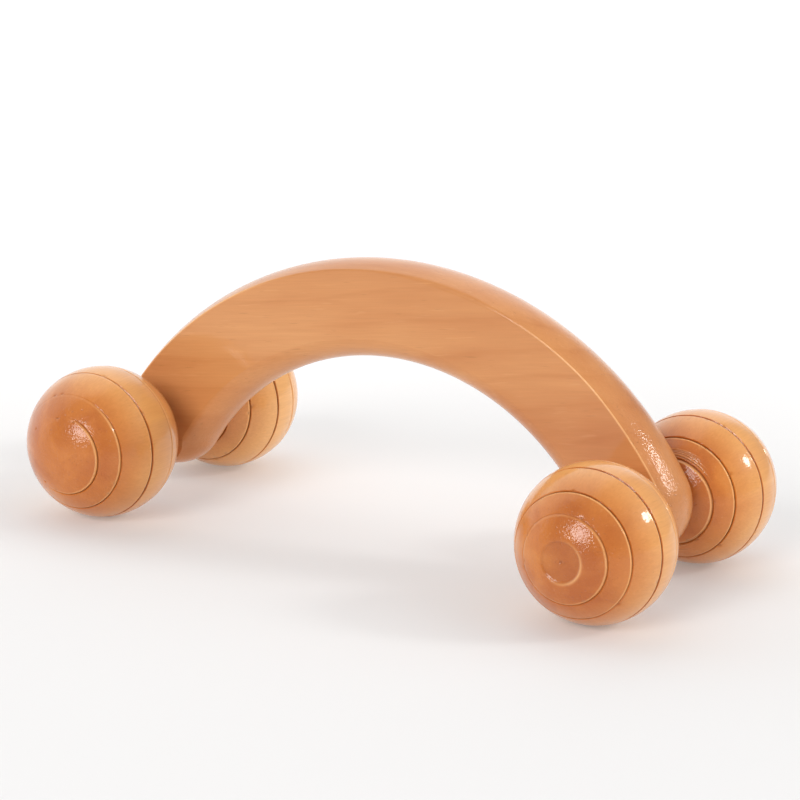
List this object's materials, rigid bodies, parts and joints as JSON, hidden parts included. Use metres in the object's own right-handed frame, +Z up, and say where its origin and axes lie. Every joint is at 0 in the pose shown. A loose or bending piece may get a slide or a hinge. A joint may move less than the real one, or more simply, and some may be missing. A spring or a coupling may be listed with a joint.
{
  "type": "foot massage roller",
  "caption": "Bow-shaped wooden handle standing on grooved wooden balls, which turn on cross axles through the handle's ends; rolled over foot, leg or back by hand.",
  "frame": {"origin": "on the floor, under the middle of the handle", "axes": "+X along the bow towards the right wheelset, +Y along the axles towards the rear, +Z up"},
  "size_m": [0.186, 0.0984, 0.0741],
  "materials": {
    "handle_wood": "clear satin lacquer over plain-sawn honey-coloured wood",
    "ball_wood": "clear gloss lacquer over turned orange-brown wood",
    "axle_steel": "drawn steel rod",
    "spacer_nylon": "brown nylon"
  },
  "bodies": {
    "handle": {"handle": "handle_wood"},
    "wheelset_left": {"axle_left": "axle_steel", "ball_front_left": "ball_wood", "ball_rear_left": "ball_wood", "spacer_front_left": "spacer_nylon", "spacer_rear_left": "spacer_nylon"},
    "wheelset_right": {"axle_right": "axle_steel", "ball_front_right": "ball_wood", "ball_rear_right": "ball_wood", "spacer_front_right": "spacer_nylon", "spacer_rear_right": "spacer_nylon"}
  },
  "joints": [
    {"name": "wheelset_left_spin", "type": "hinge", "parent": "handle", "child": "wheelset_left", "pos_m": [-0.073, 0, 0.02], "axis": [0, 1, 0], "continuous": true},
    {"name": "wheelset_right_spin", "type": "hinge", "parent": "handle", "child": "wheelset_right", "pos_m": [0.073, 0, 0.02], "axis": [0, 1, 0], "continuous": true}
  ]
}
